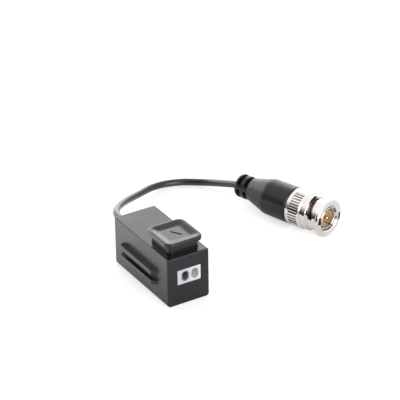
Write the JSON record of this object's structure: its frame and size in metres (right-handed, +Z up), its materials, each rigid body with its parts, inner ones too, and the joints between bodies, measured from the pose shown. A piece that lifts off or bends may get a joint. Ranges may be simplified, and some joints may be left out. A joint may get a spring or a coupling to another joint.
{
  "type": "passive video balun",
  "caption": "Passive video balun: a black box with a push-key wire terminal and side rails, on a coaxial pigtail that ends in a moulded boot and a bayonet plug.",
  "frame": {"origin": "centre of the box's base, on the surface that the box stands on", "axes": "+X towards the terminal face with the two wire ports, +Y towards the plain side, +Z up towards the push key"},
  "size_m": [0.0829, 0.0889, 0.0252],
  "materials": {
    "bare_copper": "bare copper",
    "black_plastic": "matte black",
    "board_laminate": "green solder mask",
    "boot_pvc": "satin moulded black",
    "bright_nickel": "bright nickel plate",
    "ceramic": "glazed ceramic with bright end caps",
    "chip_black": "black glaze",
    "chip_ceramic": "fired ceramic",
    "cord_pvc": "semi-gloss black",
    "enamelled_copper_green": "green enamel",
    "enamelled_copper_red": "red enamel",
    "ferrite": "dull sintered grey",
    "gilt_brass": "gold plated",
    "grey_white_plastic": "satin off-white with a violet cast",
    "housing_plastic": "satin moulded black",
    "inner_polythene": "natural",
    "key_plastic": "semi-gloss black",
    "nickel_plate": "nickel plated",
    "red_silicone": "dark red",
    "soft_pvc": "matte black",
    "spring_steel": "bright",
    "tan_acetal": "tan",
    "tinned_copper": "tinned",
    "white_plastic": "satin white"
  },
  "bodies": {
    "housing": {"housing": "housing_plastic", "base_cover": "housing_plastic", "port_block_left": "grey_white_plastic", "port_block_right": "white_plastic", "port_liner_left": "black_plastic", "contact_bar_left": "tinned_copper", "contact_bar_right": "tinned_copper", "clamp_spring_left": "spring_steel", "clamp_spring_right": "spring_steel", "circuit_board": "board_laminate", "toroid_core": "ferrite", "winding_primary": "enamelled_copper_red", "winding_secondary": "enamelled_copper_green", "surge_arrester": "ceramic", "chip_capacitors": "chip_ceramic", "chip_resistor": "chip_black", "core_lead": "bare_copper", "shield_lead": "bare_copper", "cable_grommet": "soft_pvc", "pigtail_cord": "cord_pvc", "plug_boot": "boot_pvc", "inner_mould": "inner_polythene", "crimp_ferrule": "nickel_plate", "plug_body": "nickel_plate", "outer_contact": "nickel_plate", "insulator": "tan_acetal", "centre_pin": "gilt_brass", "front_gasket": "red_silicone", "spring_washers": "spring_steel"},
    "key": {"push_key": "key_plastic"},
    "thrust_ring": {"thrust_washer": "spring_steel"},
    "collar": {"coupling_collar": "bright_nickel", "retaining_ring": "spring_steel"}
  },
  "joints": [
    {"name": "key_press", "type": "slide", "parent": "housing", "child": "key", "axis": [0, 0, -1], "range_m": [0, 0.0014], "stiffness_N_per_m": 3000, "springref_m": -0.0005, "deforming": ["clamp_spring_left", "clamp_spring_right"]},
    {"name": "collar_pull", "type": "slide", "parent": "housing", "child": "thrust_ring", "axis": [0.9511, 0.309, 0], "range_m": [0, 0.0008], "stiffness_N_per_m": 2500, "springref_m": -0.0004, "deforming": ["spring_washers"]},
    {"name": "collar_turn", "type": "hinge", "parent": "thrust_ring", "child": "collar", "pos_m": [-0.00084, 0.06852, 0.00765], "axis": [0.9511, 0.309, 0], "continuous": true}
  ]
}
